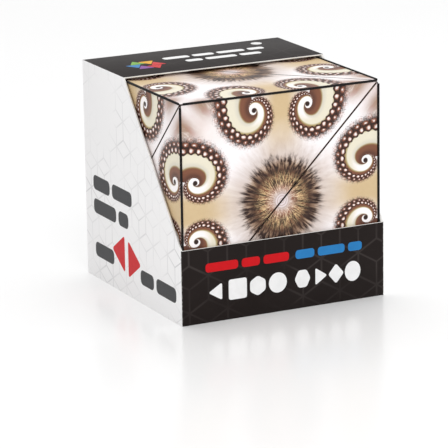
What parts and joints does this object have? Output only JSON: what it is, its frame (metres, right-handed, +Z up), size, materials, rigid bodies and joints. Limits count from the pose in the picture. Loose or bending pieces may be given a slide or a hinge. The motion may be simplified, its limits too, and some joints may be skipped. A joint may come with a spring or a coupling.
{
  "type": "magnetic puzzle cube",
  "caption": "Folding magnetic puzzle cube of tetrahedral modules in a closed ring, wrapped in patterned film, in a card display carton with a slanted window.",
  "frame": {"origin": "middle of the carton's underside", "axes": "+X to the right, +Y to the back, +Z up, with the window in the front (-Y) and top"},
  "size_m": [0.062, 0.062, 0.062],
  "materials": {
    "card_white": "matt coated",
    "card_dark": "matt coated",
    "moulded_shell": "fine moulded",
    "magnet": "nickel plated",
    "printed_film": "soft matt laminate"
  },
  "bodies": {
    "carton": {"carton_base": "card_white", "carton_back_wall": "card_white", "carton_left_side": "card_white", "carton_right_side": "card_white", "carton_front_strip": "card_dark", "carton_top_strip": "card_dark"},
    "module_01": {"module_01_tray": "moulded_shell", "module_01_cap": "moulded_shell", "module_01_magnets": "magnet", "module_01_film": "printed_film"},
    "module_02": {"module_02_tray": "moulded_shell", "module_02_cap": "moulded_shell", "module_02_magnets": "magnet", "module_02_film": "printed_film"},
    "module_03": {"module_03_tray": "moulded_shell", "module_03_cap": "moulded_shell", "module_03_magnets": "magnet", "module_03_film": "printed_film"},
    "module_04": {"module_04_tray": "moulded_shell", "module_04_cap": "moulded_shell", "module_04_magnets": "magnet", "module_04_film": "printed_film"},
    "module_05": {"module_05_tray": "moulded_shell", "module_05_cap": "moulded_shell", "module_05_magnets": "magnet", "module_05_film": "printed_film"},
    "module_06": {"module_06_tray": "moulded_shell", "module_06_cap": "moulded_shell", "module_06_magnets": "magnet", "module_06_film": "printed_film"},
    "module_07": {"module_07_tray": "moulded_shell", "module_07_cap": "moulded_shell", "module_07_magnets": "magnet", "module_07_film": "printed_film"},
    "module_08": {"module_08_tray": "moulded_shell", "module_08_cap": "moulded_shell", "module_08_magnets": "magnet", "module_08_film": "printed_film"},
    "module_09": {"module_09_tray": "moulded_shell", "module_09_cap": "moulded_shell", "module_09_magnets": "magnet", "module_09_film": "printed_film"},
    "module_10": {"module_10_tray": "moulded_shell", "module_10_cap": "moulded_shell", "module_10_magnets": "magnet", "module_10_film": "printed_film"},
    "module_11": {"module_11_tray": "moulded_shell", "module_11_cap": "moulded_shell", "module_11_magnets": "magnet", "module_11_film": "printed_film"},
    "module_12": {"module_12_tray": "moulded_shell", "module_12_cap": "moulded_shell", "module_12_magnets": "magnet", "module_12_film": "printed_film"}
  },
  "joints": [
    {"name": "cube_lift_out", "type": "slide", "parent": "carton", "child": "module_01", "axis": [0, 0, 1], "range_m": [0, 0.1]},
    {"name": "fold_12_01", "type": "hinge", "parent": "module_01", "child": "module_12", "pos_m": [-0.03, -0.03, 0.0608], "axis": [-1, 0, 0], "range_deg": [0, 180], "deforming": ["carton_base", "carton_back_wall", "carton_left_side", "carton_right_side", "carton_front_strip", "carton_top_strip"]},
    {"name": "fold_01_02", "type": "hinge", "parent": "module_01", "child": "module_02", "pos_m": [-0.03, -0.03, 0.0608], "axis": [0, 1, 0], "range_deg": [0, 180]},
    {"name": "fold_02_03", "type": "hinge", "parent": "module_02", "child": "module_03", "pos_m": [-0.03, 0.03, 0.0608], "axis": [0, 0, 1], "range_deg": [0, 180]},
    {"name": "fold_03_04", "type": "hinge", "parent": "module_03", "child": "module_04", "pos_m": [-0.03, 0.03, 0.0608], "axis": [-1, 0, 0], "range_deg": [0, 180]},
    {"name": "fold_04_05", "type": "hinge", "parent": "module_04", "child": "module_05", "pos_m": [0.03, 0.03, 0.0608], "axis": [0, -1, 0], "range_deg": [0, 180]},
    {"name": "fold_05_06", "type": "hinge", "parent": "module_05", "child": "module_06", "pos_m": [0.03, 0.03, 0.0608], "axis": [0, 0, -1], "range_deg": [0, 180]},
    {"name": "fold_11_12", "type": "hinge", "parent": "module_12", "child": "module_11", "pos_m": [-0.03, -0.03, 0.0008], "axis": [0, 0, 1], "range_deg": [0, 180]},
    {"name": "fold_10_11", "type": "hinge", "parent": "module_11", "child": "module_10", "pos_m": [-0.03, -0.03, 0.0008], "axis": [0, 1, 0], "range_deg": [0, 180]},
    {"name": "fold_09_10", "type": "hinge", "parent": "module_10", "child": "module_09", "pos_m": [0.03, -0.03, 0.0008], "axis": [1, 0, 0], "range_deg": [0, 180]},
    {"name": "fold_08_09", "type": "hinge", "parent": "module_09", "child": "module_08", "pos_m": [0.03, -0.03, 0.0008], "axis": [0, 0, -1], "range_deg": [0, 180]},
    {"name": "fold_07_08", "type": "hinge", "parent": "module_08", "child": "module_07", "pos_m": [0.03, 0.03, 0.0008], "axis": [0, -1, 0], "range_deg": [0, 180]}
  ],
  "couplings": [
    {"joint": "fold_01_02", "follows": "fold_12_01", "ratio": 1},
    {"joint": "fold_02_03", "follows": "fold_12_01", "ratio": 1},
    {"joint": "fold_03_04", "follows": "fold_12_01", "ratio": 1},
    {"joint": "fold_04_05", "follows": "fold_12_01", "ratio": 1},
    {"joint": "fold_05_06", "follows": "fold_12_01", "ratio": 1},
    {"joint": "fold_11_12", "follows": "fold_12_01", "ratio": 1},
    {"joint": "fold_10_11", "follows": "fold_12_01", "ratio": 1},
    {"joint": "fold_09_10", "follows": "fold_12_01", "ratio": 1},
    {"joint": "fold_08_09", "follows": "fold_12_01", "ratio": 1},
    {"joint": "fold_07_08", "follows": "fold_12_01", "ratio": 1}
  ]
}
